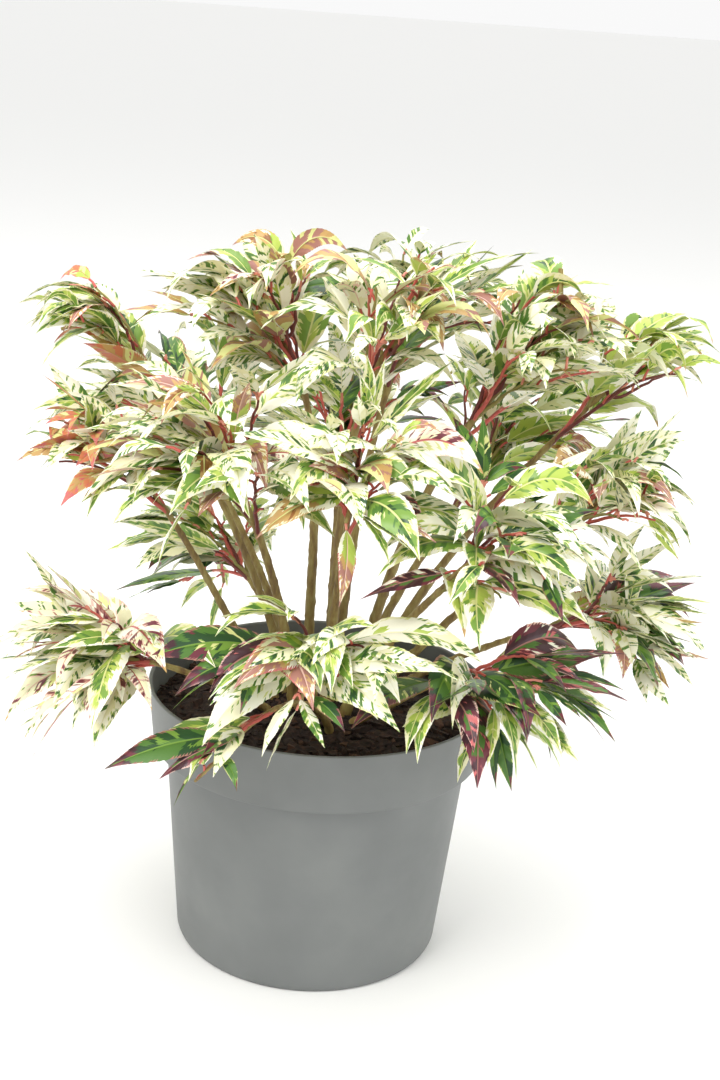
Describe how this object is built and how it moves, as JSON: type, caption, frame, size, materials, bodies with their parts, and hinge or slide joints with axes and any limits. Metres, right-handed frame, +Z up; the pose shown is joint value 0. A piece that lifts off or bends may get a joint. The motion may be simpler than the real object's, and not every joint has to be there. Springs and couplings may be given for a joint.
{
  "type": "potted variegated shrub",
  "caption": "Bushy drooping shrub with cream-flecked pointed leaves on arching stems, standing in a round ribless nursery pot full of compost.",
  "frame": {"origin": "middle of the pot's flat underside", "axes": "+Z up along the pot's axis, -Y towards the front, where the low shoot hangs over the rim, +X to the right seen from the front"},
  "size_m": [0.333, 0.2777, 0.363],
  "materials": {
    "pot": "satin moulded",
    "compost": "rough, fibrous",
    "stem": "smooth young bark",
    "foliage": "satin leaf"
  },
  "bodies": {
    "root": {"compost": "compost", "foliage_back_left": "foliage", "foliage_back_low": "foliage", "foliage_back_mid": "foliage", "foliage_back_right": "foliage", "foliage_centre": "foliage", "foliage_centre_left": "foliage", "foliage_front_centre": "foliage", "foliage_front_left_low": "foliage", "foliage_front_low": "foliage", "foliage_front_right": "foliage", "foliage_left_low": "foliage", "foliage_left_mid": "foliage", "foliage_left_top": "foliage", "foliage_right_low": "foliage", "foliage_right_mid": "foliage", "foliage_right_top": "foliage", "foliage_top_back": "foliage", "foliage_top_left": "foliage", "foliage_top_mid": "foliage", "foliage_top_right": "foliage", "pot": "pot", "stem_back_left": "stem", "stem_back_low": "stem", "stem_back_mid": "stem", "stem_back_right": "stem", "stem_centre": "stem", "stem_centre_left": "stem", "stem_front_centre": "stem", "stem_front_left_low": "stem", "stem_front_low": "stem", "stem_front_right": "stem", "stem_left_low": "stem", "stem_left_mid": "stem", "stem_left_top": "stem", "stem_right_low": "stem", "stem_right_mid": "stem", "stem_right_top": "stem", "stem_top_back": "stem", "stem_top_left": "stem", "stem_top_mid": "stem", "stem_top_right": "stem"}
  },
  "joints": []
}
